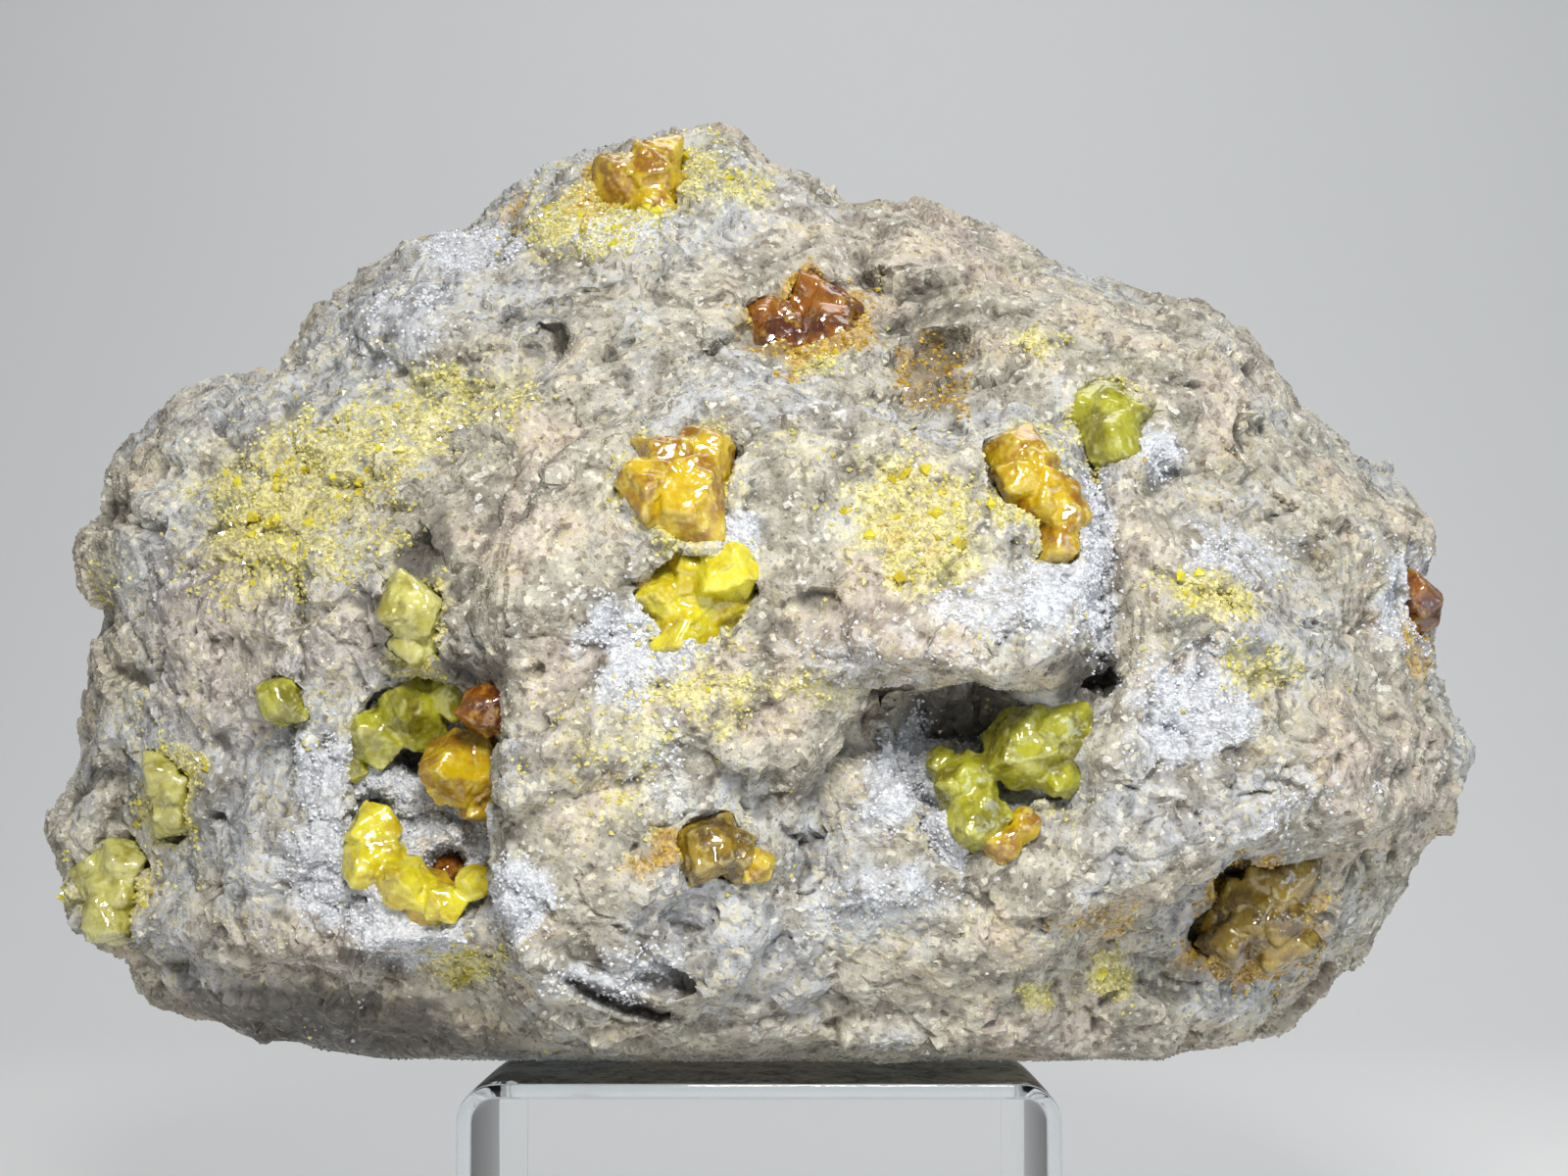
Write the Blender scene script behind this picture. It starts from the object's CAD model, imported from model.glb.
import math
import random
from collections import namedtuple

import bmesh
import bpy
import numpy as np
from mathutils import Euler, Matrix, Vector, noise
from mathutils.bvhtree import BVHTree


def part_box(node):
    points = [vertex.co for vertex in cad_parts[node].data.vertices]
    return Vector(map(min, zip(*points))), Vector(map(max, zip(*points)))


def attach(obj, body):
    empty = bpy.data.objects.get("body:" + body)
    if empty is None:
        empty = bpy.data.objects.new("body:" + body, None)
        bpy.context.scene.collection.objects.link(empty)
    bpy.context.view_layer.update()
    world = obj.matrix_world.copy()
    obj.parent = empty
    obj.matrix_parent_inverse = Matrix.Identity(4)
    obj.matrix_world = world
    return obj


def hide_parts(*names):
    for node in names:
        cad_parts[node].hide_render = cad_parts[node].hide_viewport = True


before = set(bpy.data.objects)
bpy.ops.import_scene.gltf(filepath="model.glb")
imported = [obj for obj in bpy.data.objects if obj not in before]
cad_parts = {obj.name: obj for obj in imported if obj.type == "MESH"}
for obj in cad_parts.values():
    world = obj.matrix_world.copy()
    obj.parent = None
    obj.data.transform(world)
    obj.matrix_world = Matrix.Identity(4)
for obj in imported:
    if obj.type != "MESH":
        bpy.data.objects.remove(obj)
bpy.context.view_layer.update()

# The front of the specimen is laid out in millimetres on the upright plane through the middle
# of the rock, as it looks from the viewpoint: x to the right, and z up from the riser's top.
MM = 0.001
VIEWPOINT = Vector((3.26, -324.49, 68.38))
MIDDLE_PLANE = 3.24
LAYOUT_SCALE = 0.98417
LAYOUT_ORIGIN = (-0.481, 38.359)

# The camera stands at the viewpoint; the angles are in degrees.
LOOK_UP = 4.35
LOOK_LEFT = 0.12
LENS = 62.8
SENSOR_WIDTH = 36.0
CLIP_START = 0.01

# Surfaces are remade on an even grid, softened in passes, and then broken up.
ROCK_GRID = 0.66
ROCK_TRIANGLES = 192000
ROCK_SMOOTHING = 4
CRUST_GRID = 0.30
CRYSTAL_GRID = 0.22
CRYSTAL_SMOOTHING = 5

# The relief of the rock and of the crusts in its hollows, in millimetres.
RIM_LIFT = 4.5                  # of the underside's front rim, off the riser
LINE_WANDER = 0.7               # of ledges and cracks to the sides of their lines
LINE_WANDER_LENGTH = 3.5
LEDGE_BLUNTNESS = 0.45          # half the width of a ledge's step
SEAM_DEPTH = 0.6
PIT_DEPTH = 1.6
DRUSE_LUMPS = 0.7
CRUST_DEPTH = 2.2               # of a crust behind its solid
CRUST_LUMPS = 1.1
CRUST_GRIT = 0.25
CRYSTAL_SWELLING = 0.25         # of the clusters, to bring back what the softening takes

# Patches of colour have edges that stray: broadly and finely, by this much over this length.
BROAD_STRAY, BROAD_STRAY_LENGTH = 3.2, 6.0
FINE_STRAY, FINE_STRAY_LENGTH = 1.4, 1.8
FULL_STRAY_SIZE = 6.0           # a patch with a smaller half size strays less

ROCK_IOR = 1.52
SULFUR_IOR = 1.96
ACRYLIC_IOR = 1.49

# Noise vectors follow this seed; without it they would differ each time.
NOISE_SEED = 5
noise.seed_set(NOISE_SEED)


# ---------------------------------------------------------------- the front's layout

# A patch of colour: its channel, centre, half sizes, turn in degrees, and strength.
Patch = namedtuple("Patch", "channel x z half_width half_height turn strength")
PATCHES = [
    Patch("sulfur", -57, 66, 17, 11, 35, 0.82),
    Patch("sulfur", -42, 77, 17, 7, 10, 0.72),
    Patch("sulfur", -46, 60, 5, 5, 0, 0.55),
    Patch("sulfur", -41, 50.5, 4, 7, -12, 1.00),
    Patch("sulfur", -52, 40, 5, 5, 0, 0.45),
    Patch("sulfur", -71, 31, 4, 7, 0, 0.95),
    Patch("sulfur", -76, 41, 4, 4, 0, 0.45),
    Patch("sulfur", -9.5, 68, 8, 8, 0, 0.95),
    Patch("sulfur", -8, 54, 8, 9, 0, 0.60),
    Patch("sulfur", -8, 43, 6, 4, 0, 0.75),
    Patch("sulfur", 19, 64, 11, 10, -20, 0.80),
    Patch("sulfur", 4, 74, 7, 3, 0, 0.45),
    Patch("sulfur", 6, 84, 3, 2, 0, 0.95),
    Patch("sulfur", 34, 68, 6, 9, 15, 0.85),
    Patch("sulfur", 42, 76, 6, 7, 0, 0.70),
    Patch("sulfur", 35, 86, 5, 2.5, -10, 0.70),
    Patch("sulfur", 55, 55, 8, 3.5, -10, 0.90),
    Patch("sulfur", 61, 46, 6, 3.5, 0, 0.75),
    Patch("sulfur", -2, 42, 17, 4, 5, 0.62),
    Patch("sulfur", -18, 34, 11, 13, 0, 0.50),
    Patch("sulfur", 30, 33, 11, 9, 30, 0.60),
    Patch("sulfur", 33.5, 6.5, 3, 2, 0, 1.00),
    Patch("sulfur", 43, 9, 3, 3.5, 0, 1.00),
    Patch("sulfur", -36, 10, 6, 3, 0, 0.90),
    Patch("sulfur", -16, 104, 16, 6, 22, 0.95),
    Patch("sulfur", -3, 106, 7, 3, -30, 0.80),
    Patch("sulfur", -79, 19, 6, 6, 0, 0.85),
    Patch("sulfur", -80, 57, 3, 4, 0, 0.50),
    Patch("amber", -9, 24, 8, 4, 10, 0.80),
    Patch("amber", -10, 70, 5, 5, 0, 0.70),
    Patch("amber", -17, 106, 10, 4, 22, 0.75),
    Patch("amber", 60, 15, 10, 8, 25, 0.95),
    Patch("amber", 6, 89, 9, 6, 10, 0.95),
    Patch("amber", 21, 82, 6, 6, 0, 0.65),
    Patch("amber", 41, 15, 7, 3, 0, 0.55),
    Patch("amber", 17, 62, 6, 5, 0, 0.50),
    Patch("amber", -21, 35, 6, 8, 0, 0.35),
    Patch("amber", 80, 50, 2.5, 8, 0, 0.65),
    Patch("amber", -38, 27, 5, 9, 0, 0.45),
    Patch("amber", -31, 103, 4, 4, 0, 0.60),
    Patch("amber", -47, 70, 8, 4, 20, 0.35),
    Patch("druse", 52, 41, 9, 9, 0, 1.00),
    Patch("druse", -50, 22, 8, 9, 0, 1.00),
    Patch("druse", -42, 14, 9, 4, 0, 1.00),
    Patch("druse", -42, 27, 10, 5, 0, 1.00),
    Patch("druse", -53, 33, 4, 6, 0, 0.85),
    Patch("druse", -14, 49, 8, 9, 0, 0.90),
    Patch("druse", -3, 62, 4, 3, 0, 0.85),
    Patch("druse", 36, 56, 6, 4, 0, 0.90),
    Patch("druse", 17, 33, 5, 9, -15, 0.80),
    Patch("druse", 48, 73, 4, 5, 0, 0.95),
    Patch("druse", -35, 98, 9, 4, 0, 0.65),
    Patch("druse", -17, 100, 9, 2.5, 10, 0.80),
    Patch("druse", -29, 18, 4, 6, 0, 0.90),
    Patch("druse", 16, 19, 12, 5, 0, 0.55),
    Patch("druse", 41.5, 58, 2.5, 14, 0, 0.90),
    Patch("druse", 58, 60, 9, 5, -10, 0.55),
    Patch("druse", 78, 54, 5, 9, 0, 0.60),
    Patch("druse", -12, 33, 5, 8, 0, 0.55),
    Patch("druse", -43, 88, 8, 8, 0, 0.40),
    Patch("druse", 16, 48, 16, 5, 0, 0.45),
    Patch("druse", -16, 9, 10, 4, 0, 0.60),
    Patch("druse", 66, 30, 10, 6, 0, 0.45),
    Patch("druse", 30, 54, 12, 5, 0, 0.60),
    Patch("dark", -41, 60, 3.5, 7.0, -20, 0.90),
    Patch("dark", 4, 88, 7, 4, 20, 0.65),
    Patch("dark", 22, 81, 5, 5, 0, 0.55),
    Patch("dark", -41.2, 36.5, 3.8, 4.2, 0, 1.00),
    Patch("dark", -35, 45.8, 5.0, 2.0, 0, 1.00),
    Patch("dark", -47, 29.2, 2.6, 1.4, -15, 0.90),
    Patch("dark", -38.3, 21.7, 2.4, 2.6, 0, 0.80),
    Patch("dark", 24, 40, 9, 4, -10, 0.90),
    Patch("dark", 40, 45, 4, 4, 30, 0.95),
    Patch("dark", -52, 3, 26, 5, -5, 0.95),
    Patch("dark", -2, 8, 22, 5, 0, 0.40),
    Patch("dark", -27, 92, 18, 8, 15, 0.32),
    Patch("dark", -8, 109, 9, 4, 10, 0.35),
    Patch("dark", 30, 96, 16, 7, -20, 0.30),
    Patch("dark", -17, 6, 7, 1.6, -20, 0.95),
    Patch("dark", -66, 31, 4, 4, 0, 0.45),
    Patch("dark", -22, 33, 6, 5, 0, 0.40),
    Patch("dark", 7, 32, 4, 5, 0, 0.45),
    Patch("dark", 62, 20, 16, 2.2, 22, 0.50),
    Patch("dark", -12, 16, 9, 3, -20, 0.40),
    Patch("warm", -65, 50, 10, 13, 0, 0.90),
    Patch("warm", -50, 51, 7, 7, 0, 0.75),
    Patch("warm", -25, 44, 5, 9, 0, 0.75),
    Patch("warm", 46, 62, 6, 9, 0, 0.55),
    Patch("warm", 60, 54, 6, 3, 0, 0.50),
    Patch("warm", 10, 98, 12, 6, -15, 0.50),
    Patch("warm", 60, 84, 6, 5, 0, 0.55),
    Patch("warm", -56, 12, 14, 6, 0, 0.60),
    Patch("warm", 12, 55, 10, 5, 0, 0.45),
]
CHANNELS = ("sulfur", "amber", "druse", "dark", "warm")

# A ledge: the ground on the right of its line, walking along it, stands out by a step that is
# sharp at the line and fades away from it.
Ledge = namedtuple("Ledge", "points step fade")
LEDGES = [
    Ledge([(-31, 16.5), (-31.3, 33), (-30.8, 50)], 2.2, 8),
    Ledge([(-43, 46.5), (-35.8, 54.3), (-32.4, 62.1), (-30.7, 66)], 1.6, 7),
    Ledge([(0.8, 83), (9, 80.6), (18.5, 76), (25, 73.5), (31.4, 77), (36.8, 74.7), (39, 71)],
          2.0, 8),
    Ledge([(40.9, 50), (37.3, 45.4), (31.4, 43), (20.8, 46.4), (12.6, 45.2)], 2.4, 8),
    Ledge([(78.6, 27.5), (69.2, 25), (59.8, 22.6), (50.3, 18), (42, 14.5), (34, 11)], 2.2, 8),
    Ledge([(-32.3, 11.4), (-40.5, 13.5), (-52.3, 11.2), (-61.8, 9.6), (-74.2, 11.6)], 2.0, 7),
    Ledge([(66, 52), (57, 54.5), (50, 57.5)], 1.2, 5),
    Ledge([(77, 62), (66, 64.5), (60, 70.5)], 1.3, 6),
    Ledge([(14, 94), (3, 90.5), (-4, 86.5)], 2.0, 6),
    Ledge([(-22, 92), (-36, 88), (-50, 78)], 1.2, 7),
    Ledge([(-8, 20), (4, 25), (12, 24)], 1.1, 5),
    Ledge([(-80, 48), (-76, 36), (-79, 27)], 1.2, 5),
]

# A crack: its line, depth and half width.
Crack = namedtuple("Crack", "points depth half_width")
CRACKS = [
    Crack([(-67, 62.5), (-62, 63.8), (-57, 61.7), (-55.9, 54.6), (-56.1, 45.2), (-57, 39)],
          1.5, 0.7),
    Crack([(-56, 45), (-62, 37), (-63, 30)], 0.9, 0.7),
    Crack([(-22.8, 8), (-18.1, 5.7), (-9.9, 3.9)], 3.6, 0.9),
    Crack([(39.9, 72.3), (41.8, 64.1), (42.1, 57), (40.7, 50)], 2.4, 1.0),
    Crack([(13.7, 42.8), (6, 37), (0, 30), (-4, 23)], 1.6, 2.0),
    Crack([(-30, 86), (-22, 84), (-12, 87), (-4, 84)], 1.0, 0.8),
    Crack([(50, 22), (60, 31), (72, 36)], 0.9, 0.8),
    Crack([(-52, 60), (-43, 66), (-30, 72)], 0.8, 0.9),
    Crack([(28, 90), (42, 84), (56, 80)], 0.9, 0.9),
    Crack([(-6, 36), (2, 44), (12, 48)], 0.7, 1.0),
]


def layout(points):
    """Layout x and z of points that are given in millimetres."""
    reach = (MIDDLE_PLANE - VIEWPOINT.y) / (points[:, 1] - VIEWPOINT.y)
    x = VIEWPOINT.x + (points[:, 0] - VIEWPOINT.x) * reach
    z = VIEWPOINT.z + (points[:, 2] - VIEWPOINT.z) * reach
    return (x - LAYOUT_ORIGIN[0]) / LAYOUT_SCALE, (z - LAYOUT_ORIGIN[1]) / LAYOUT_SCALE


def on_middle_plane(x, z):
    """The point, in millimetres, where a layout point lies on the middle plane."""
    return Vector((LAYOUT_ORIGIN[0] + x * LAYOUT_SCALE, MIDDLE_PLANE,
                   LAYOUT_ORIGIN[1] + z * LAYOUT_SCALE))


def ramp(low, high, value):
    """0 at low, 1 at high and smooth between."""
    share = np.clip((value - low) / (high - low), 0.0, 1.0)
    return share * share * (3.0 - 2.0 * share)


def swell(points, scale, shift, octaves=3):
    """Fractal noise with swells about scale millimetres long."""
    offset = Vector((shift, 3.1 * shift, -1.7 * shift))
    return np.array([noise.fractal(Vector(point) / scale + offset, 0.9, 2.1, octaves)
                     for point in points])


def facets(points, cell, shift):
    """Flat facets about one cell wide, each tilted its own way, in millimetres."""
    offset = Vector((shift, -2.3 * shift, 1.1 * shift))
    heights = []
    for point in points:
        place = Vector(point) / cell + offset
        seed = noise.voronoi(place)[1][0]
        heights.append((place - seed).dot(noise.noise_vector(seed * 5.3)) * cell)
    return np.array(heights)


def line_distance(x, z, points):
    """Distance to a line, and the side of it: 1 on the right, walking along it."""
    nearest = np.full(len(x), 1e9)
    side = np.zeros(len(x))
    for (ax, az), (bx, bz) in zip(points, points[1:]):
        run_x, run_z = bx - ax, bz - az
        along = ((x - ax) * run_x + (z - az) * run_z) / (run_x ** 2 + run_z ** 2)
        along = np.clip(along, 0.0, 1.0)
        dx, dz = x - ax - along * run_x, z - az - along * run_z
        away = np.hypot(dx, dz)
        closer = away < nearest
        nearest[closer] = away[closer]
        side[closer] = np.sign(dx * run_z - dz * run_x)[closer]
    return nearest, side


def front_relief(points):
    """How far the ledges stand out of the front and the cracks go into it."""
    x, z = layout(points)
    x = x + LINE_WANDER * swell(points, LINE_WANDER_LENGTH, 14.0)
    z = z + LINE_WANDER * swell(points, LINE_WANDER_LENGTH, 17.0)
    height = np.zeros(len(points))
    for ledge in LEDGES:
        away, side = line_distance(x, z, ledge.points)
        rise = ramp(-LEDGE_BLUNTNESS, LEDGE_BLUNTNESS, side * away)
        height += ledge.step * rise * np.exp(-(away / ledge.fade) ** 2)
    for crack in CRACKS:
        away, _side = line_distance(x, z, crack.points)
        height -= crack.depth * np.exp(-(away / crack.half_width) ** 2)
    return height


def rim_lift(points):
    """How far the front rim of the underside is lifted off the level of the riser."""
    _x, z = layout(points)
    return RIM_LIFT * ramp(-8.0, -38.0, points[:, 1]) * ramp(24.0, -4.0, z)


def edge_stray(points, shift):
    """How far the edge of a large patch strays at each point, in millimetres."""
    return (BROAD_STRAY * swell(points, BROAD_STRAY_LENGTH, shift)
            + FINE_STRAY * swell(points, FINE_STRAY_LENGTH, shift + 1.0, 2))


def patch_masks(points):
    """How strongly each channel colours each point, from 0 to 1."""
    x, z = layout(points)
    stray_x, stray_z = edge_stray(points, 1.0), edge_stray(points, 5.0)
    front = ramp(14.0, -2.0, points[:, 1])
    masks = {channel: np.zeros(len(points)) for channel in CHANNELS}
    for patch in PATCHES:
        turn = math.radians(patch.turn)
        stray = min(1.0, min(patch.half_width, patch.half_height) / FULL_STRAY_SIZE)
        dx, dz = x + stray * stray_x - patch.x, z + stray * stray_z - patch.z
        across = (dx * math.cos(turn) + dz * math.sin(turn)) / patch.half_width
        along = (dz * math.cos(turn) - dx * math.sin(turn)) / patch.half_height
        strength = patch.strength * ramp(1.4, 0.4, np.hypot(across, along)) * front
        masks[patch.channel] = np.maximum(masks[patch.channel], strength)
    for shift, channel in enumerate(CHANNELS):
        loose = ramp(0.25, 0.75, swell(points, 17.0, 20.0 + 9.0 * shift))
        masks[channel] = np.maximum(masks[channel], 0.8 * loose * (1.0 - 0.8 * front))
    return masks


# ---------------------------------------------------------------- meshes

def link(name, data):
    """A new object in the scene."""
    obj = bpy.data.objects.new(name, data)
    bpy.context.scene.collection.objects.link(obj)
    return obj


def mesh_from(bm, name):
    """A mesh of what a bmesh holds, which is then freed."""
    mesh = bpy.data.meshes.new(name)
    bm.to_mesh(mesh)
    bm.free()
    return mesh


def cad_copy(node, name):
    """A merged copy of a CAD node, as an object of its own."""
    bm = bmesh.new()
    bm.from_mesh(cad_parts[node].data)
    bmesh.ops.remove_doubles(bm, verts=bm.verts, dist=0.002 * MM)
    return link(name, mesh_from(bm, name))


def apply_modifiers(obj):
    """Make what an object's modifiers show its own mesh."""
    bpy.context.view_layer.update()
    evaluated = obj.evaluated_get(bpy.context.evaluated_depsgraph_get())
    mesh = bpy.data.meshes.new_from_object(evaluated)
    obj.modifiers.clear()
    obj.data = mesh


def regrid(obj, grid, smoothing):
    """Remake the surface on an even grid and soften it."""
    even = obj.modifiers.new("Even", "REMESH")
    even.mode = "VOXEL"
    even.voxel_size = grid * MM
    apply_modifiers(obj)
    bm = bmesh.new()
    bm.from_mesh(obj.data)
    for _pass in range(smoothing):
        bmesh.ops.smooth_vert(bm, verts=bm.verts, factor=0.5, use_axis_x=True,
                              use_axis_y=True, use_axis_z=True)
    bm.to_mesh(obj.data)
    bm.free()


def vertex_points(mesh):
    """The mesh's points, in millimetres."""
    flat = np.empty(len(mesh.vertices) * 3)
    mesh.vertices.foreach_get("co", flat)
    return flat.reshape(-1, 3) / MM


def vertex_normals(mesh):
    """The mesh's normals at its points."""
    flat = np.empty(len(mesh.vertices) * 3, np.float32)
    mesh.vertex_normals.foreach_get("vector", flat)
    return flat.reshape(-1, 3).astype(float)


def place_points(mesh, points):
    """Move the mesh's points, given in millimetres."""
    mesh.vertices.foreach_set("co", (points * MM).ravel())
    mesh.update()


def store(mesh, name, values):
    """Keep one value for each of the mesh's points, under a name."""
    attribute = mesh.attributes.get(name) or mesh.attributes.new(name, "FLOAT", "POINT")
    attribute.data.foreach_set("value", values.astype(np.float32))


def stored(mesh, name):
    """The values that the mesh's points keep under a name."""
    values = np.empty(len(mesh.vertices), np.float32)
    mesh.attributes[name].data.foreach_get("value", values)
    return values


def standing_out(mesh, passes):
    """How far each vertex stands out of the smoothed surface, in millimetres."""
    points, normals = vertex_points(mesh), vertex_normals(mesh)
    ends = np.empty(len(mesh.edges) * 2, np.int32)
    mesh.edges.foreach_get("vertices", ends)
    first, second = ends.reshape(-1, 2).T
    count = np.bincount(ends, minlength=len(points))[:, None]
    smooth = points.copy()
    for _pass in range(passes):
        total = np.zeros_like(smooth)
        for axis in range(3):
            total[:, axis] += np.bincount(first, smooth[second, axis], len(points))
            total[:, axis] += np.bincount(second, smooth[first, axis], len(points))
        smooth = 0.5 * smooth + 0.5 * total / np.maximum(count, 1)
    return ((points - smooth) * normals).sum(axis=1)


def finished(obj, material, slot, *nodes):
    """Give a piece its finish and its place on the specimen."""
    obj.data.materials.clear()
    obj.data.materials.append(material)
    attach(obj, "root")
    if nodes:
        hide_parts(*nodes)
    return obj


# ---------------------------------------------------------------- shader maths

class Value:
    """A shader socket that takes part in sums."""

    def __init__(self, finish, socket):
        self.finish = finish
        self.socket = socket

    def _with(self, operation, first, second):
        node = self.finish.node("ShaderNodeMath", {"operation": operation}, (first, second))
        return Value(self.finish, node.outputs[0])

    def __add__(self, other):
        return self._with("ADD", self, other)

    def __sub__(self, other):
        return self._with("SUBTRACT", self, other)

    def __rsub__(self, other):
        return self._with("SUBTRACT", other, self)

    def __mul__(self, other):
        return self._with("MULTIPLY", self, other)

    def between(self, low, high):
        """0 at low, 1 at high and smooth between."""
        node = self.finish.node("ShaderNodeMapRange", {"interpolation_type": "SMOOTHSTEP"},
                                {"Value": self, "From Min": low, "From Max": high})
        return Value(self.finish, node.outputs["Result"])


class Finish:
    """A material: its node tree and its one surface shader."""

    def __init__(self, name):
        self.material = bpy.data.materials.new(name)
        self.material.use_nodes = True
        self.tree = self.material.node_tree
        self.shader = self.tree.nodes["Principled BSDF"]
        self.place = self.node("ShaderNodeTexCoord").outputs["Object"]

    def node(self, kind, settings=None, sockets=()):
        """Add a node: its settings first, then the values or links of its sockets."""
        node = self.tree.nodes.new(kind)
        for key, setting in (settings or {}).items():
            setattr(node, key, setting)
        named = sockets.items() if isinstance(sockets, dict) else enumerate(sockets)
        for key, given in named:
            self.feed(node.inputs[key], given)
        return node

    def feed(self, socket, given):
        """Link a socket to a value or another socket, or set it to a number or colour."""
        if isinstance(given, Value):
            given = given.socket
        if isinstance(given, bpy.types.NodeSocket):
            self.tree.links.new(given, socket)
        else:
            socket.default_value = given

    def mix(self, share, first, second, blend="MIX"):
        """Blend two colours."""
        node = self.node("ShaderNodeMix", {"data_type": "RGBA", "blend_type": blend},
                         {0: share, 6: first, 7: second})
        return node.outputs[2]

    def grain(self, size, detail=3.0, roughness=0.55):
        """Noise with swells about size metres long."""
        node = self.node("ShaderNodeTexNoise", {}, {
            "Vector": self.place, "Scale": 1.0 / size, "Detail": detail, "Roughness": roughness})
        return Value(self, node.outputs["Fac"])

    def cell_shades(self, size):
        """Cells about size metres wide, each with a shade of its own."""
        cells = self.node("ShaderNodeTexVoronoi", {}, {"Vector": self.place, "Scale": 1.0 / size})
        split = self.node("ShaderNodeSeparateColor", {}, {"Color": cells.outputs["Color"]})
        return Value(self, split.outputs[0])

    def facet(self, size):
        """Height of a surface of flat grains about size metres wide, each tilted its own way."""
        cells = self.node("ShaderNodeTexVoronoi", {}, {"Vector": self.place, "Scale": 1.0 / size})
        away = self.node("ShaderNodeVectorMath", {"operation": "SUBTRACT"},
                         (self.place, cells.outputs["Position"]))
        tilt = self.node("ShaderNodeVectorMath", {"operation": "SUBTRACT"},
                         (cells.outputs["Color"], (0.5, 0.5, 0.5)))
        height = self.node("ShaderNodeVectorMath", {"operation": "DOT_PRODUCT"},
                           (away.outputs[0], tilt.outputs[0]))
        return Value(self, height.outputs["Value"])

    def mask(self, name):
        """The values that a mesh's points keep under a name."""
        node = self.node("ShaderNodeAttribute", {"attribute_name": name})
        return Value(self, node.outputs["Fac"])

    def bump(self, height, strength):
        """Normals for a relief whose height is in metres."""
        node = self.node("ShaderNodeBump", {}, {
            "Height": height, "Distance": 1.0, "Strength": strength})
        return node.outputs["Normal"]

    def set(self, **given):
        """Feed the shader's sockets, named with underscores for their spaces."""
        for name, value in given.items():
            self.feed(self.shader.inputs[name.replace("_", " ")], value)
        return self.material


# Colours of the rock; where there are two, the dark shade and the light one.
BEIGE_GROUND = (0.190, 0.172, 0.138, 1), (0.500, 0.468, 0.385, 1)
PINK_GROUND = (0.215, 0.172, 0.145, 1), (0.550, 0.480, 0.410, 1)
GREY_GROUND = (0.180, 0.182, 0.190, 1), (0.500, 0.508, 0.520, 1)
DRUSE_CRUST = (0.36, 0.38, 0.43, 1), (0.66, 0.67, 0.70, 1)
SULFUR_STAIN = (0.30, 0.25, 0.050, 1), (0.78, 0.71, 0.28, 1)
AMBER_STAIN = (0.20, 0.085, 0.008, 1), (0.66, 0.42, 0.06, 1)
TINT_SHADES = (0.76, 0.76, 0.76, 1), (1.22, 1.22, 1.22, 1)
OCHRE_STAIN = (0.50, 0.42, 0.17, 1)
PALE_SPECK = (0.74, 0.73, 0.70, 1)
BROWN_SPECK = (0.12, 0.075, 0.035, 1)
CRUMB_SHADOW = (0.070, 0.060, 0.048, 1)
HOLLOW_SHADOW = (0.035, 0.030, 0.024, 1)
DARK_GROUND = (0.060, 0.052, 0.047, 1)

WHITE_DRUSE = (0.38, 0.40, 0.45, 1), (0.76, 0.76, 0.78, 1)
GOLD_GRAINS = (0.56, 0.47, 0.060, 1), (0.94, 0.88, 0.36, 1)
AMBER_GRAINS = (0.40, 0.20, 0.010, 1), (0.84, 0.62, 0.08, 1)

# Colours of the crystals: deep in them, at their faces, and where they are frosted.
CRYSTAL_COLOURS = {
    "pale_sulfur": ((0.36, 0.31, 0.030, 1), (0.70, 0.66, 0.18, 1), (0.86, 0.84, 0.50, 1)),
    "yellow_sulfur": ((0.62, 0.46, 0.003, 1), (0.88, 0.78, 0.025, 1), (0.94, 0.90, 0.22, 1)),
    "olive_sulfur": ((0.20, 0.175, 0.004, 1), (0.50, 0.48, 0.025, 1), (0.80, 0.78, 0.28, 1)),
    "amber_sulfur": ((0.34, 0.14, 0.001, 1), (0.72, 0.49, 0.004, 1), (0.90, 0.80, 0.16, 1)),
    "orange_sulfur": ((0.10, 0.018, 0.001, 1), (0.38, 0.12, 0.002, 1), (0.66, 0.40, 0.05, 1)),
    "brown_sulfur": ((0.09, 0.045, 0.004, 1), (0.36, 0.22, 0.008, 1), (0.66, 0.56, 0.16, 1)),
}


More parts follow.
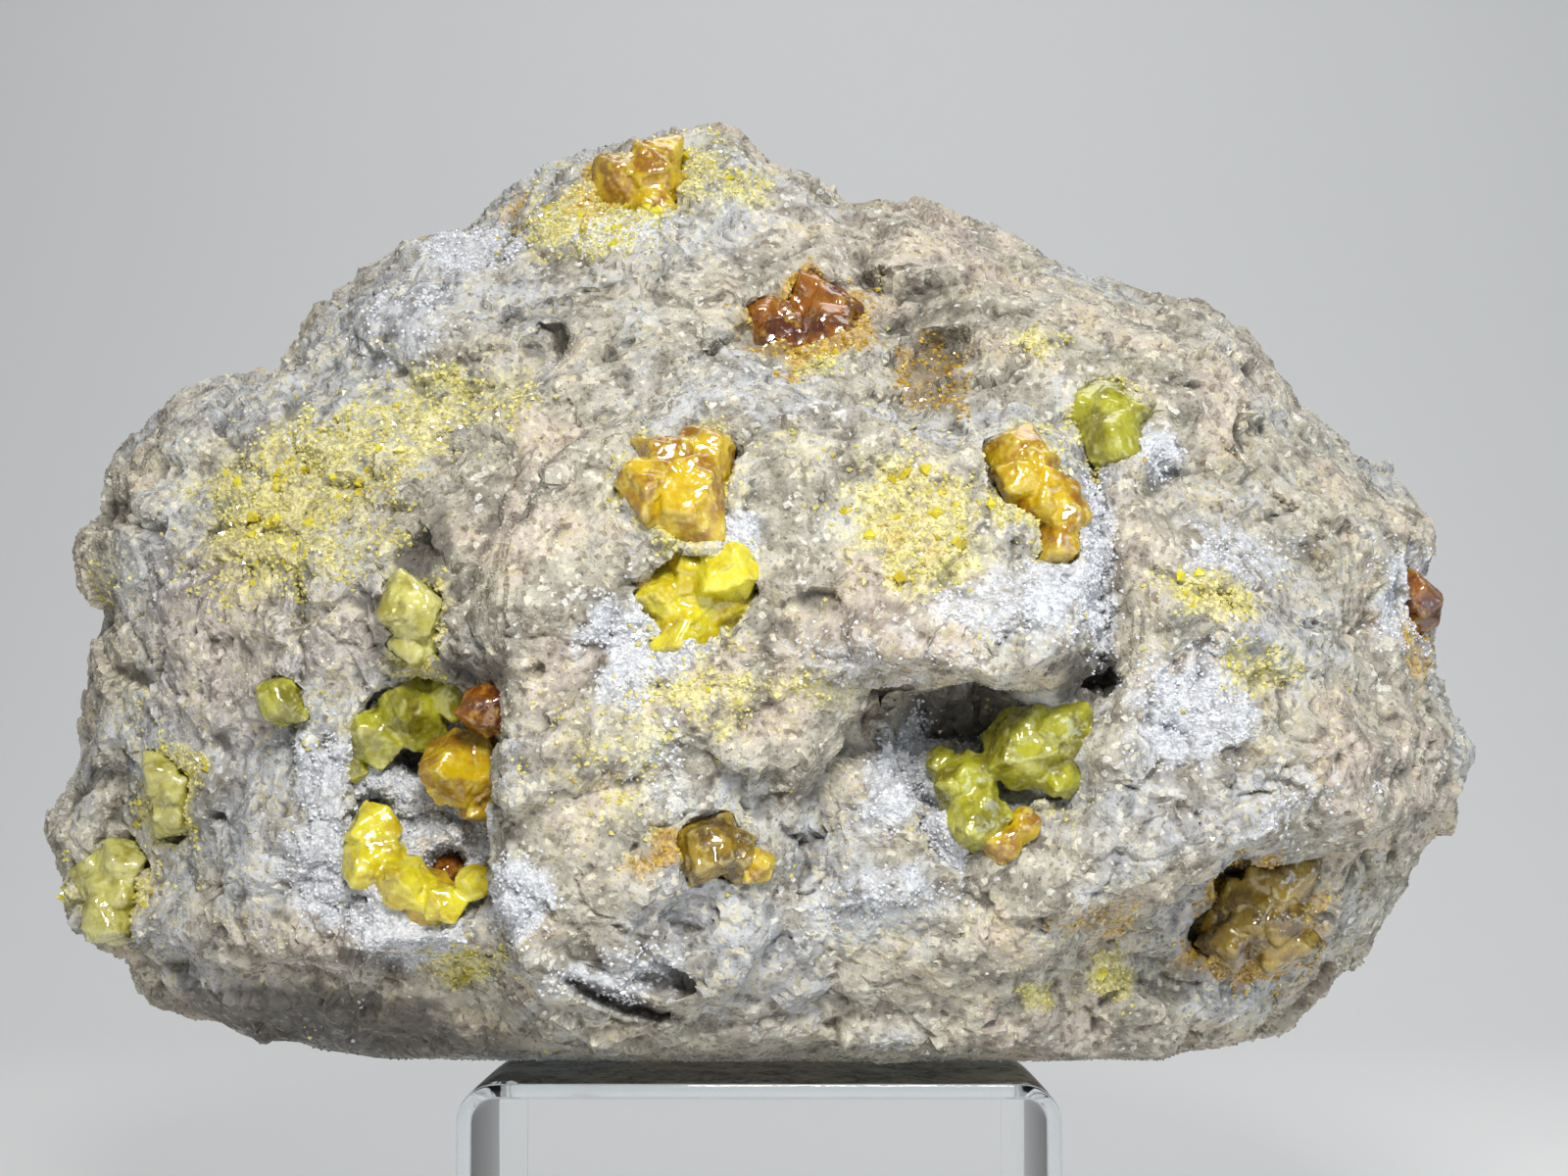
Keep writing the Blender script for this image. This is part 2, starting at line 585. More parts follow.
def matrix_finish(name):
    """Rough granular rock, stained by sulfur, with bright druse and dark hollows."""
    finish = Finish(name)
    grit = finish.grain(0.0007, 3.0, 0.7)
    crumb = finish.grain(0.0025, 4.0, 0.65)
    blotch = finish.grain(0.007, 4.0, 0.6)
    broad = finish.grain(0.030, 3.0, 0.6)
    speck = finish.cell_shades(0.0006)
    tint = finish.mask("tint")

    light = (crumb * 0.6 + blotch * 0.4).between(0.34, 0.62)
    beige = finish.mix(light, *BEIGE_GROUND)
    pink = finish.mix(light, *PINK_GROUND)
    grey = finish.mix(light, *GREY_GROUND)
    tone = finish.mix((broad + (blotch - 0.5) * 0.5).between(0.46, 0.60), beige, grey)
    tone = finish.mix((broad - (blotch - 0.5) * 0.6).between(0.46, 0.34), tone, pink)
    tone = finish.mix(finish.mask("warm") * 0.85, tone, pink)
    tone = finish.mix(crumb.between(0.40, 0.28) * 0.50, tone, CRUMB_SHADOW)
    tone = finish.mix(speck.between(0.86, 0.93) * 0.60, tone, PALE_SPECK)
    tone = finish.mix(speck.between(0.10, 0.05) * 0.50, tone, BROWN_SPECK)
    ochre = (blotch * 0.7 + speck * 0.3).between(0.54, 0.66)
    tone = finish.mix(ochre * 0.40, tone, OCHRE_STAIN)

    druse = (finish.mask("druse") + (crumb - 0.5) * 1.3).between(0.34, 0.74)
    snow = finish.mix(grit.between(0.35, 0.60), *DRUSE_CRUST)
    tone = finish.mix(druse * 0.80, tone, snow)
    sulfur = (finish.mask("sulfur") + (crumb - 0.5) * 1.5 + (grit - 0.5) * 0.7).between(0.36, 0.96)
    yellow = finish.mix(grit.between(0.32, 0.62), *SULFUR_STAIN)
    tone = finish.mix(sulfur * 0.70, tone, yellow)
    amber = (finish.mask("amber") + (crumb - 0.5) * 1.4).between(0.36, 0.86)
    rust = finish.mix(grit.between(0.3, 0.7), *AMBER_STAIN)
    tone = finish.mix(amber * 0.80, tone, rust)

    hollow = (finish.mask("hollow") + (crumb - 0.5) * 0.5).between(0.15, 0.85)
    tone = finish.mix(hollow * 0.70, tone, finish.mix(0.80, tone, HOLLOW_SHADOW))
    dark = (finish.mask("dark") + (crumb - 0.5) * 0.5).between(0.20, 0.90)
    tone = finish.mix(dark * 0.80, tone, DARK_GROUND)
    tone = finish.mix(1.0, tone, finish.mix(tint, *TINT_SHADES), "MULTIPLY")

    height = finish.facet(0.0007) * 0.8 + finish.facet(0.0016) * 0.5 + (grit - 0.5) * 0.0005
    glint = speck.between(0.50, 0.95)
    return finish.set(Base_Color=tone, Roughness=0.82 - glint * 0.55 - sulfur * 0.10,
                      Normal=finish.bump(height, 0.65), IOR=ROCK_IOR)


def grain_finish(name, shades, roughness, transmission=0.0, ior=ROCK_IOR):
    """Small crystals, each of its own tint between two shades."""
    finish = Finish(name)
    colour = finish.mix(finish.mask("tint") * 0.7 + finish.grain(0.005) * 0.3, *shades)
    return finish.set(Base_Color=colour, Roughness=roughness, IOR=ior,
                      Transmission_Weight=transmission)


def crystal_finish(name, deep, clear, pale):
    """Resinous sulfur: deep in its cracks, paler where it is frosted."""
    finish = Finish(name)
    cloud = finish.grain(0.0034, 3.0, 0.6)
    vein = finish.grain(0.0012, 3.0, 0.6)
    frost = finish.cell_shades(0.0005)
    colour = finish.mix(cloud.between(0.36, 0.62), deep, clear)
    colour = finish.mix(vein.between(0.52, 0.72) * 0.55, colour, pale)
    colour = finish.mix(finish.mask("standing") * 0.6, colour, pale)
    height = finish.facet(0.0014) * 0.30 + finish.facet(0.0006) * 0.20
    return finish.set(
        Base_Color=colour, Roughness=frost.between(0.3, 1.0) * 0.22 + 0.10, IOR=SULFUR_IOR,
        Transmission_Weight=0.30, Normal=finish.bump(height, 0.6))


def acrylic_finish():
    """Clear acrylic, with faint smears on its polish."""
    finish = Finish("clear_acrylic")
    smear = finish.grain(0.012, 3.0).between(0.45, 0.75)
    return finish.set(Base_Color=(0.93, 0.965, 0.985, 1.0), Roughness=smear * 0.05 + 0.02,
                      Transmission_Weight=1.0, IOR=ACRYLIC_IOR)


# ---------------------------------------------------------------- the rock

def make_rock():
    """The matrix rock: the CAD solid's form, broken into crags, plates, pits and grit."""
    rock = cad_copy("matrix_rock", "matrix_rock_surface")
    regrid(rock, ROCK_GRID, ROCK_SMOOTHING)
    points, normals = vertex_points(rock.data), vertex_normals(rock.data)
    points[:, 2] += rim_lift(points)
    masks = patch_masks(points)
    plates = points * np.array([0.45, 0.45, 1.0])
    height = 0.70 * swell(points, 11.0, 3.0, 3) + 0.22 * swell(points, 3.0, 7.0, 3)
    height += 0.20 * facets(points, 13.0, 6.0) + 0.40 * facets(points, 6.5, 1.0)
    height += 0.22 * facets(points, 2.8, 4.0) + 0.45 * swell(plates, 5.0, 9.0, 3)
    height -= SEAM_DEPTH * ramp(0.07, 0.0, np.abs(swell(points, 15.0, 31.0, 3)))
    pit = ramp(0.64, 0.88, swell(points, 3.2, 44.0, 1))
    height -= PIT_DEPTH * pit
    height += DRUSE_LUMPS * masks["druse"] * np.abs(swell(points, 2.2, 57.0, 2))
    base = ramp(0.5, 2.5, points[:, 2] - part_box("matrix_rock")[0].z / MM)
    facing = ramp(0.10, 0.55, -normals[:, 1]) * base
    points = points + normals * (height * base)[:, None]
    points[:, 1] -= front_relief(points) * facing
    place_points(rock.data, points)
    store(rock.data, "pit", pit)

    thin = rock.modifiers.new("Thin", "DECIMATE")
    thin.ratio = min(1.0, ROCK_TRIANGLES / (2.0 * len(rock.data.polygons)))
    apply_modifiers(rock)
    masks = patch_masks(vertex_points(rock.data))
    hollow = ramp(-0.20, -0.90, standing_out(rock.data, 14))
    hollow = np.maximum(hollow, 0.9 * ramp(0.2, 0.8, stored(rock.data, "pit")))
    for name, values in masks.items():
        store(rock.data, name, values)
    store(rock.data, "hollow", hollow)
    store(rock.data, "tint", np.full(len(hollow), 0.5))
    return rock


# ---------------------------------------------------------------- grains

# Grains of one kind: how many lie on a square millimetre where they are thickest, their
# smallest and largest size in millimetres, and the seed that places them.
Grains = namedtuple("Grains", "per_square_mm smallest largest seed")
MATRIX_FIELDS = (-26, 24)       # layout x, where the front's fields of matrix grains meet
FRONT_MATRIX_GRAINS = {
    "left": Grains(2.6, 0.18, 0.50, 20),
    "middle": Grains(2.6, 0.18, 0.50, 21),
    "right": Grains(2.6, 0.18, 0.50, 22),
}
BACK_MATRIX_GRAINS = Grains(0.7, 0.35, 0.95, 24)
DRUSE_ON_ROCK = Grains(4.4, 0.22, 0.65, 13)
DRUSE_ON_CRUST = Grains(3.6, 0.25, 0.70, 31)
GOLD_ON_ROCK = Grains(3.0, 0.25, 0.80, 14)
AMBER_ON_ROCK = Grains(2.6, 0.25, 0.80, 15)
FRAGMENTS = {
    "sulfur": ("yellow_sulfur", Grains(0.10, 0.7, 1.7, 41)),
    "amber": ("amber_sulfur", Grains(0.10, 0.7, 1.7, 45)),
}


def grain_shape(name, stretch, seed):
    """One small crystal about 1 across, with two points and eight flat sides."""
    bm = bmesh.new()
    bmesh.ops.create_uvsphere(bm, u_segments=4, v_segments=2, radius=0.5)
    for vert in bm.verts:
        vert.co += noise.noise_vector(vert.co * 3.0 + Vector((seed, seed, seed))) * 0.14
        vert.co.z *= stretch
    obj = link(name, mesh_from(bm, name))
    obj.hide_render = True
    return obj


def scatter(name, ground, weight, shape, grains):
    """Grains scattered over a surface where the weight is high, as one joined mesh."""
    obj = link(name, ground.data.copy())
    store(obj.data, "weight", weight)
    group = bpy.data.node_groups.new(name, "GeometryNodeTree")
    group.interface.new_socket("Geometry", in_out="INPUT", socket_type="NodeSocketGeometry")
    group.interface.new_socket("Geometry", in_out="OUTPUT", socket_type="NodeSocketGeometry")

    def node(kind, settings, sockets):
        made = group.nodes.new(kind)
        for key, setting in settings.items():
            setattr(made, key, setting)
        for key, given in sockets.items():
            if isinstance(given, bpy.types.NodeSocket):
                group.links.new(given, made.inputs[key])
            else:
                made.inputs[key].default_value = given
        return made

    seed = grains.seed
    surface = node("NodeGroupInput", {}, {})
    wanted = node("GeometryNodeInputNamedAttribute", {"data_type": "FLOAT"}, {"Name": "weight"})
    density = node("ShaderNodeMath", {"operation": "MULTIPLY"},
                   {0: wanted.outputs["Attribute"], 1: grains.per_square_mm / MM ** 2})
    spots = node("GeometryNodeDistributePointsOnFaces", {"distribute_method": "RANDOM"}, {
        "Mesh": surface.outputs[0], "Density": density.outputs[0], "Seed": seed})
    grain = node("GeometryNodeObjectInfo", {}, {"Object": shape})
    turn = node("FunctionNodeRandomValue", {"data_type": "FLOAT_VECTOR"}, {
        "Min": (0.0, 0.0, 0.0), "Max": (math.tau, math.tau, math.tau), "Seed": seed + 1})
    size = node("FunctionNodeRandomValue", {"data_type": "FLOAT"}, {
        2: grains.smallest * MM, 3: grains.largest * MM, "Seed": seed + 2})
    tint = node("FunctionNodeRandomValue", {"data_type": "FLOAT"}, {"Seed": seed + 3})
    placed = node("GeometryNodeInstanceOnPoints", {}, {
        "Points": spots.outputs["Points"], "Instance": grain.outputs["Geometry"],
        "Rotation": turn.outputs["Value"], "Scale": size.outputs[1]})
    tinted = node("GeometryNodeStoreNamedAttribute",
                  {"data_type": "FLOAT", "domain": "INSTANCE"}, {
                      "Geometry": placed.outputs["Instances"], "Name": "tint",
                      "Value": tint.outputs[1]})
    joined = node("GeometryNodeRealizeInstances", {}, {"Geometry": tinted.outputs["Geometry"]})
    node("NodeGroupOutput", {}, {0: joined.outputs["Geometry"]})
    obj.modifiers.new("Grains", "NODES").node_group = group
    apply_modifiers(obj)
    return obj


def make_grains(rock, matrix, white, rough, sharp):
    """Grey, white and yellow grains all over the rock, thickest where its colours are."""
    mesh = rock.data
    points = vertex_points(mesh)
    x, _z = layout(points)
    masks = {name: stored(mesh, name) for name in CHANNELS + ("hollow",)}
    uneven = 0.45 + 0.55 * ramp(-0.4, 0.4, swell(points, 4.0, 51.0))
    front = ramp(24.0, 8.0, points[:, 1])
    druse = ramp(0.30, 0.75, masks["druse"] + 0.45 * swell(points, 3.0, 61.0))
    sulfur = ramp(0.30, 0.90, masks["sulfur"] + 0.45 * swell(points, 2.5, 71.0))
    amber = ramp(0.35, 0.90, masks["amber"] + 0.40 * swell(points, 2.5, 81.0))
    bare = (1.0 - 0.9 * druse) * (1.0 - 0.8 * masks["hollow"]) * (1.0 - 0.9 * masks["dark"])
    bare = bare * uneven
    gold = grain_finish("gold_grains", GOLD_GRAINS, 0.10, 0.25, SULFUR_IOR)
    rust = grain_finish("amber_grains", AMBER_GRAINS, 0.10, 0.25, SULFUR_IOR)

    left, right = MATRIX_FIELDS
    fields = {"left": x < left, "middle": (x >= left) & (x < right), "right": x >= right}
    for side, field in fields.items():
        finished(scatter(side + "_matrix_grains", rock, bare * front * field, rough,
                         FRONT_MATRIX_GRAINS[side]), matrix, "matrix")
    finished(scatter("back_matrix_grains", rock, bare * (1 - front), rough,
                     BACK_MATRIX_GRAINS), matrix, "matrix")
    for name, weight, grains, look, slot in (
            ("white_druse_grains", druse, DRUSE_ON_ROCK, white, "matrix"),
            ("gold_sulfur_grains", sulfur, GOLD_ON_ROCK, gold, "yellow_sulfur"),
            ("amber_sulfur_grains", amber, AMBER_ON_ROCK, rust, "amber_sulfur")):
        finished(scatter(name, rock, weight * uneven, sharp, grains), look, slot)


def make_fragments(rock, finishes):
    """Loose-set crystals a millimetre or two long where the sulfur is thickest."""
    for channel, (slot, grains) in FRAGMENTS.items():
        name = slot + "_fragments"
        thick = ramp(0.55, 0.95, stored(rock.data, channel))
        shape = grain_shape(name + "_shape", 1.5, grains.seed)
        finished(scatter(name, rock, thick, shape, grains), finishes[slot], slot)


# ---------------------------------------------------------------- crystals

CLUSTERS = {
    "pale_sulfur": ("yellow_sulfur", ("left_pale_cluster", "rib_cluster", "left_base_cluster")),
    "yellow_sulfur": ("yellow_sulfur", ("back_cluster",)),
    "olive_sulfur": ("olive_sulfur", ("upper_right_crystal", "crack_crystal")),
    "amber_sulfur": ("amber_sulfur", ("amber_cluster", "right_rim_cluster", "summit_cluster",
                                      "left_back_cluster")),
    "orange_sulfur": ("orange_sulfur", ("crevice_crust", "right_flank_cluster")),
    "brown_sulfur": ("amber_sulfur", ("lower_right_cluster", "low_amber_cluster")),
}

# A crystal: its layout place, half width, how long it is for its width, its turn about the
# line of sight in degrees, and how far its middle stands out of the surface, for its size.
Crystal = namedtuple("Crystal", "x z size stretch turn rise")
GROWN_CRYSTALS = {
    "centre_crystal_lobes": ("yellow_sulfur", [
        Crystal(-5.6, 55.6, 4.0, 1.15, -60, 0.35),
        Crystal(-8.4, 51.0, 4.2, 1.1, 20, 0.40),
        Crystal(-10.6, 54.2, 3.4, 1.0, 0, 0.20),
        Crystal(-3.8, 58.2, 2.8, 1.1, 30, 0.20),
    ]),
    "centre_crystal_amber_edge": ("amber_sulfur", [
        Crystal(-12.6, 55.6, 2.3, 1.0, 10, 0.4),
        Crystal(-8.0, 59.0, 2.4, 1.1, 60, 0.3),
    ]),
    "left_vug_olive_crystals": ("olive_sulfur", [
        Crystal(-49.0, 34.4, 1.6, 1.3, -60, 0.4),
        Crystal(-46.4, 38.0, 2.4, 1.7, -55, 0.5),
        Crystal(-42.2, 41.4, 3.0, 1.8, -58, 0.6),
        Crystal(-37.6, 42.6, 2.2, 1.4, -70, 0.4),
    ]),
    "left_vug_amber_crystals": ("amber_sulfur", [
        Crystal(-35.6, 33.6, 3.4, 1.10, 10, 1.0),
        Crystal(-33.6, 30.6, 2.2, 1.1, 40, 0.9),
        Crystal(-33.4, 37.0, 1.8, 1.1, 0, 0.8),
        Crystal(-40.4, 18.6, 2.7, 1.3, -35, 0.5),
    ]),
    "left_vug_orange_crystals": ("orange_sulfur", [
        Crystal(-33.2, 41.0, 2.4, 1.1, 0, 0.2),
        Crystal(-37.6, 21.4, 1.8, 1.1, 30, 0.1),
    ]),
    "left_vug_yellow_crystals": ("yellow_sulfur", [
        Crystal(-46.4, 26.2, 2.3, 1.3, 20, 0.6),
        Crystal(-46.2, 22.4, 2.9, 1.1, 60, 0.6),
        Crystal(-43.2, 19.8, 2.5, 1.2, -30, 0.5),
        Crystal(-38.2, 17.2, 1.9, 1.5, -40, 0.6),
        Crystal(-34.6, 20.0, 1.7, 1.1, 0, 0.6),
    ]),
    "middle_vug_olive_crystals": ("olive_sulfur", [
        Crystal(32.4, 36.4, 3.6, 1.2, 30, 0.4),
        Crystal(36.4, 38.0, 3.0, 1.3, 10, 0.4),
        Crystal(36.6, 33.0, 2.0, 1.1, 70, 0.3),
        Crystal(24.4, 31.8, 2.8, 1.1, 0, 0.7),
        Crystal(26.0, 27.6, 2.7, 1.2, 40, 0.7),
        Crystal(22.4, 34.2, 1.6, 1.0, 10, 0.5),
    ]),
    "low_amber_crystals": ("amber_sulfur", [
        Crystal(-7.8, 25.8, 1.8, 1.2, 20, 0.3),
        Crystal(-0.4, 22.2, 1.7, 1.1, 50, 0.3),
        Crystal(-8.8, 22.4, 1.5, 1.1, -20, 0.3),
    ]),
    "middle_vug_amber_crystals": ("amber_sulfur", [
        Crystal(29.4, 24.8, 1.9, 1.0, 0, 0.3),
        Crystal(32.0, 26.8, 1.5, 1.2, 50, 0.3),
    ]),
}
REPLACED = {"centre_crystal_lobes": "centre_crystal"}

# Where the crust of a hollow lies deeper: layout place, half sizes and depth.
Recess = namedtuple("Recess", "x z half_width half_height depth")
RECESSES = [
    Recess(-41.2, 36.5, 4.4, 4.6, 6.5),
    Recess(-35.5, 45.5, 5.5, 2.6, 5.5),
    Recess(-33.0, 40.0, 2.6, 4.0, 4.0),
    Recess(-47.0, 29.2, 2.8, 1.5, 3.5),
    Recess(-38.3, 21.7, 2.6, 2.8, 4.0),
    Recess(24.0, 40.5, 9.0, 3.2, 4.5),
    Recess(29.0, 34.0, 2.0, 3.6, 3.5),
]


def crystal_shape(rng, crystal):
    """A flat-faced blocky dipyramid about its own middle, in millimetres."""
    size = crystal.size
    bm = bmesh.new()
    bmesh.ops.create_cube(bm, size=size * 8.0)
    planes = [(Vector((1.23 * a, b, 0.53 * c)), rng.uniform(0.92, 1.08))
              for a in (-1, 1) for b in (-1, 1) for c in (-1, 1)]
    planes += [(Vector((0, 0, 1)), crystal.stretch), (Vector((0, 0, -1)), 1.0),
               (Vector((0, 1, 0.9)), 0.95), (Vector((0.3, -1, 0.8)), 1.0)]
    for out, share in planes:
        out.normalize()
        cut = bmesh.ops.bisect_plane(
            bm, geom=bm.verts[:] + bm.edges[:] + bm.faces[:], plane_co=out * size * share,
            plane_no=out, clear_outer=True)
        rim = [piece for piece in cut["geom_cut"] if isinstance(piece, bmesh.types.BMEdge)]
        bmesh.ops.holes_fill(bm, edges=rim)
    bmesh.ops.recalc_face_normals(bm, faces=bm.faces)
    return bm


def surface_tree(pieces):
    """One search tree over the faces of several pieces, in millimetres."""
    whole = bmesh.new()
    for piece in pieces:
        whole.from_mesh(piece.data)
    bmesh.ops.scale(whole, vec=(1 / MM, 1 / MM, 1 / MM), verts=whole.verts)
    tree = BVHTree.FromBMesh(whole)
    whole.free()
    return tree


def grown_crystals(name, crystals, tree):
    """Crystals grown together on the rock, as one object."""
    rng = random.Random(name)
    whole = bmesh.new()
    for crystal in crystals:
        aim = (on_middle_plane(crystal.x, crystal.z) - VIEWPOINT).normalized()
        place, normal, _index, _distance = tree.ray_cast(VIEWPOINT, aim)
        out = (normal * 0.4 - aim + Vector(noise.noise_vector(place)) * 0.25).normalized()
        spin = Matrix.Rotation(math.radians(crystal.turn), 4, "Z")
        turn = out.to_track_quat("Z", "X").to_matrix().to_4x4() @ spin
        lay = Matrix.Rotation(math.radians(rng.uniform(55.0, 80.0)), 4, "X")
        middle = place + out * crystal.size * crystal.rise
        bm = crystal_shape(rng, crystal)
        move = Matrix.Scale(MM, 4) @ Matrix.Translation(middle) @ turn @ lay
        bmesh.ops.transform(bm, matrix=move, verts=bm.verts)
        mesh = mesh_from(bm, "crystal")
        whole.from_mesh(mesh)
        bpy.data.meshes.remove(mesh)
    return link(name, mesh_from(whole, name))


def etched(obj, swollen):
    """Remake crystals finely: softened, a little swollen, with broken and stepped faces."""
    regrid(obj, CRYSTAL_GRID, CRYSTAL_SMOOTHING)
    points = vertex_points(obj.data)
    steps = swollen + 0.16 * swell(points, 2.4, 12.0, 3) + 0.22 * facets(points, 2.2, 8.0)
    place_points(obj.data, points + vertex_normals(obj.data) * steps[:, None])
    store(obj.data, "standing", ramp(0.04, 0.22, standing_out(obj.data, 8)))
    obj.data.shade_smooth()
    return obj


def make_crust(node, slot, druse_finish, sharp):
    """The lining of an open hollow: lumpy white druse, deeper in its recesses."""
    crust = cad_copy(node, node + "_lining")
    regrid(crust, CRUST_GRID, ROCK_SMOOTHING)
    points, normals = vertex_points(crust.data), vertex_normals(crust.data)
    x, z = layout(points)
    deep = np.full(len(points), CRUST_DEPTH)
    for recess in RECESSES:
        away = np.hypot((x - recess.x) / recess.half_width, (z - recess.z) / recess.half_height)
        deep = np.maximum(deep, CRUST_DEPTH + recess.depth * ramp(1.25, 0.55, away))
    lumps = (CRUST_LUMPS * np.abs(swell(points, 2.6, 5.0, 3))
             + CRUST_GRIT * swell(points, 0.9, 6.0, 2))
    points = points + normals * lumps[:, None]
    points[:, 1] += deep
    place_points(crust.data, points)
    for name, values in patch_masks(points).items():
        store(crust.data, name, values)
    store(crust.data, "druse", np.maximum(stored(crust.data, "druse"), 0.95))
    store(crust.data, "hollow", ramp(-0.15, -0.80, standing_out(crust.data, 10)))
    store(crust.data, "tint", np.full(len(points), 0.5))
    light = ramp(0.9, 0.3, stored(crust.data, "dark"))
    finished(scatter(node + "_druse_grains", crust, light, sharp, DRUSE_ON_CRUST),
             druse_finish, "matrix")
    return finished(crust, matrix_finish(node + "_lining"), slot, node)


def make_crystals(rock, druse_finish, sharp):
    """Every cluster and the crystals grown over the crusts of the open hollows."""
    finishes = {name: crystal_finish(name, *colours)
                for name, colours in CRYSTAL_COLOURS.items()}
    for look, (slot, nodes) in CLUSTERS.items():
        for node in nodes:
            cluster = cad_copy(node, node + "_crystals")
            finished(etched(cluster, CRYSTAL_SWELLING), finishes[look], slot, node)
    crusts = [make_crust("left_vug_crust", "yellow_sulfur", druse_finish, sharp),
              make_crust("middle_vug_crust", "olive_sulfur", druse_finish, sharp)]
    tree = surface_tree([rock] + crusts)
    for name, (slot, crystals) in GROWN_CRYSTALS.items():
        piece = etched(grown_crystals(name, crystals, tree), 0.0)
        nodes = [REPLACED[name]] if name in REPLACED else []
        finished(piece, finishes[slot], slot, *nodes)
    return finishes


# ---------------------------------------------------------------- the riser

RISER_BEND = 4.0                # the outer radius of its bends, in millimetres
RISER_BEND_STEPS = 14
RISER_SHEET = 1.6
RISER_EDGE = 0.25
RISER_EDGE_ANGLE = 50.0         # edges that turn more than this are rounded, degrees
RISER_SHARP_ANGLE = 35.0


def swept_sheet(name, line, sweep):
    """A sheet from a line of points that is swept straight, its middle facing up."""
    bm = bmesh.new()
    verts = [bm.verts.new(place) for place in line]
    edges = [bm.edges.new(pair) for pair in zip(verts, verts[1:])]
    swept = bmesh.ops.extrude_edge_only(bm, edges=edges)
    far = [piece for piece in swept["geom"] if isinstance(piece, bmesh.types.BMVert)]
    bmesh.ops.translate(bm, vec=sweep, verts=far)
    bmesh.ops.recalc_face_normals(bm, faces=bm.faces)
    bm.faces.ensure_lookup_table()
    if bm.faces[len(bm.faces) // 2].normal.z < 0.0:
        bmesh.ops.reverse_faces(bm, faces=bm.faces)
    return link(name, mesh_from(bm, name))


def make_riser():
    """The bent acrylic sheet that the rock rests on."""
    low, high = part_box("acrylic_stand")
    half, height = high.x / MM, high.z / MM
    profile = [(-half, 0.0)]
    for side in (-1, 1):
        for step in range(RISER_BEND_STEPS + 1):
            share = step / RISER_BEND_STEPS
            angle = math.radians(90.0 * (share if side < 0 else 1.0 - share))
            x = side * (half - RISER_BEND + RISER_BEND * math.cos(angle))
            profile.append((x, height - RISER_BEND + RISER_BEND * math.sin(angle)))
    profile.append((half, 0.0))
    riser = swept_sheet("acrylic_riser", [(x * MM, low.y, z * MM) for x, z in profile],
                        (0.0, high.y - low.y, 0.0))
    wall = riser.modifiers.new("Sheet", "SOLIDIFY")
    wall.thickness = RISER_SHEET * MM
    wall.offset = -1.0
    wall.use_even_offset = True
    edge = riser.modifiers.new("Edge", "BEVEL")
    edge.width = RISER_EDGE * MM
    edge.segments = 3
    edge.limit_method = "ANGLE"
    edge.angle_limit = math.radians(RISER_EDGE_ANGLE)
    apply_modifiers(riser)
    riser.data.shade_smooth()
    riser.data.set_sharp_from_angle(angle=math.radians(RISER_SHARP_ANGLE))
    finished(riser, acrylic_finish(), "acrylic", "acrylic_stand")


# ---------------------------------------------------------------- stage, light and camera

# The stage and the lamps are laid out in metres, and the lamps' power is in watts.
FLOOR_NEAR, FLOOR_FAR, FLOOR_TOP = -0.9, 0.75, 1.5
FLOOR_BEND = 0.3
FLOOR_BEND_STEPS = 12
FLOOR_HALF_WIDTH = 1.6
FLOOR_COLOUR = (0.88, 0.88, 0.87, 1)

Lamp = namedtuple("Lamp", "name place size power colour")
LAMPS = [
    Lamp("key", (0.02, -0.31, 0.24), 0.08, 1.32, (1.0, 0.99, 0.96)),
    Lamp("fill", (0.45, -0.35, 0.10), 0.30, 0.8, (0.66, 0.80, 1.0)),
    Lamp("top", (0.10, 0.25, 0.80), 0.60, 3.0, (1.0, 1.0, 1.0)),
]
LAMP_AIM = Vector((0.0, 0.0, 0.09))
STUDIO_COLOUR = (0.84, 0.88, 0.94, 1)
STUDIO_STRENGTH = 0.24


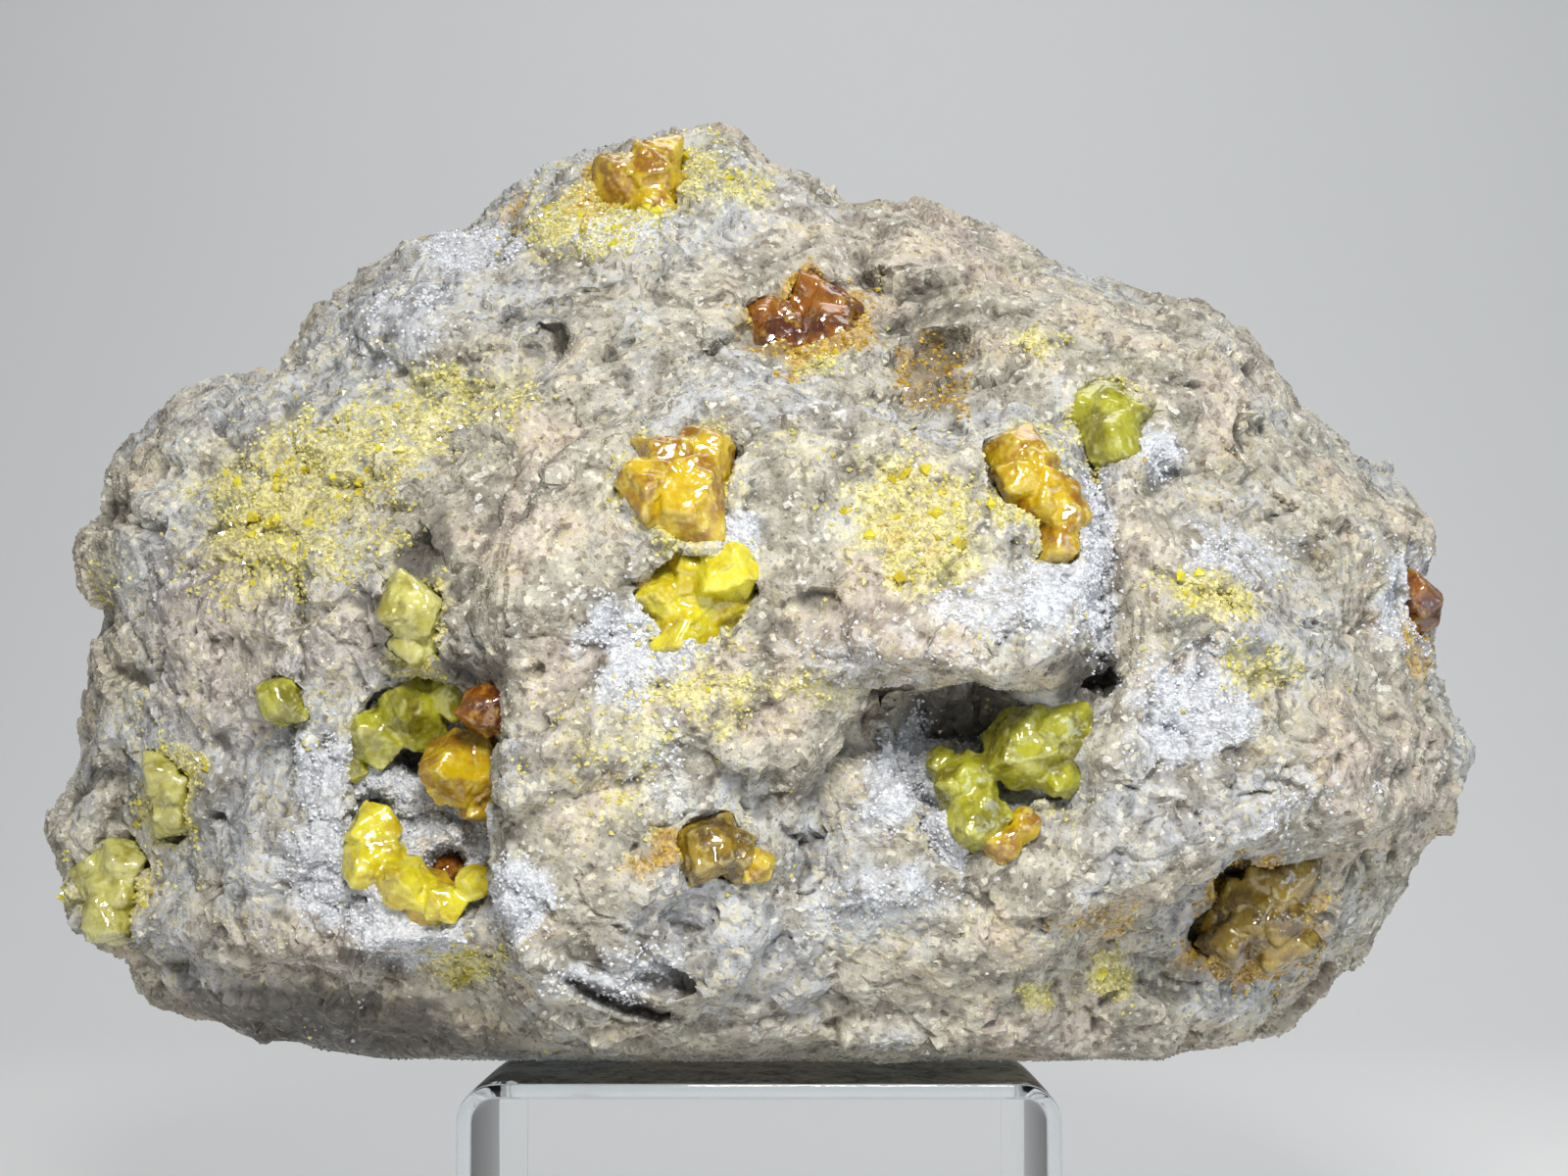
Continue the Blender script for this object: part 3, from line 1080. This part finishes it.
def make_stage():
    """A pale floor that curves up into a backdrop."""
    profile = [(FLOOR_NEAR, 0.0)]
    for step in range(FLOOR_BEND_STEPS + 1):
        angle = math.radians(90.0 * step / FLOOR_BEND_STEPS)
        profile.append((FLOOR_FAR - FLOOR_BEND + FLOOR_BEND * math.sin(angle),
                        FLOOR_BEND - FLOOR_BEND * math.cos(angle)))
    profile.append((FLOOR_FAR, FLOOR_TOP))
    floor = swept_sheet("pale_floor", [(-FLOOR_HALF_WIDTH, y, z) for y, z in profile],
                        (2.0 * FLOOR_HALF_WIDTH, 0.0, 0.0))
    floor.data.shade_smooth()
    finish = Finish("pale_floor")
    floor.data.materials.append(finish.set(Base_Color=FLOOR_COLOUR, Roughness=0.8))


def add_lamp(lamp):
    """A square lamp that is turned to the specimen."""
    data = bpy.data.lights.new(lamp.name, "AREA")
    data.size = lamp.size
    data.energy = lamp.power
    data.color = lamp.colour
    obj = link(lamp.name, data)
    obj.location = lamp.place
    aim = LAMP_AIM - obj.location
    obj.rotation_euler = aim.to_track_quat("-Z", "Y").to_euler()


def light_scene():
    """Soft studio light: the lamps, and an even pale light from all around."""
    for lamp in LAMPS:
        add_lamp(lamp)
    world = bpy.data.worlds.new("studio")
    world.use_nodes = True
    background = world.node_tree.nodes["Background"]
    background.inputs["Color"].default_value = STUDIO_COLOUR
    background.inputs["Strength"].default_value = STUDIO_STRENGTH
    bpy.context.scene.world = world
    bpy.context.scene.view_settings.view_transform = "Standard"


def place_camera():
    """The camera, at the viewpoint."""
    data = bpy.data.cameras.new("camera")
    data.lens = LENS
    data.sensor_width = SENSOR_WIDTH
    data.clip_start = CLIP_START
    camera = link("camera", data)
    camera.location = VIEWPOINT * MM
    camera.rotation_euler = Euler((math.radians(90.0 + LOOK_UP), 0.0, math.radians(LOOK_LEFT)))
    bpy.context.scene.camera = camera


place_camera()
light_scene()
make_stage()
make_riser()
rock = make_rock()
matrix = matrix_finish("matrix_rock")
white_druse = grain_finish("white_druse", WHITE_DRUSE, 0.25)
rough_grain = grain_shape("matrix_grain_shape", 0.8, 1.0)
sharp_grain = grain_shape("crystal_grain_shape", 1.3, 3.0)
make_grains(rock, matrix, white_druse, rough_grain, sharp_grain)
finished(rock, matrix, "matrix", "matrix_rock")
crystal_looks = make_crystals(rock, white_druse, sharp_grain)
make_fragments(rock, crystal_looks)
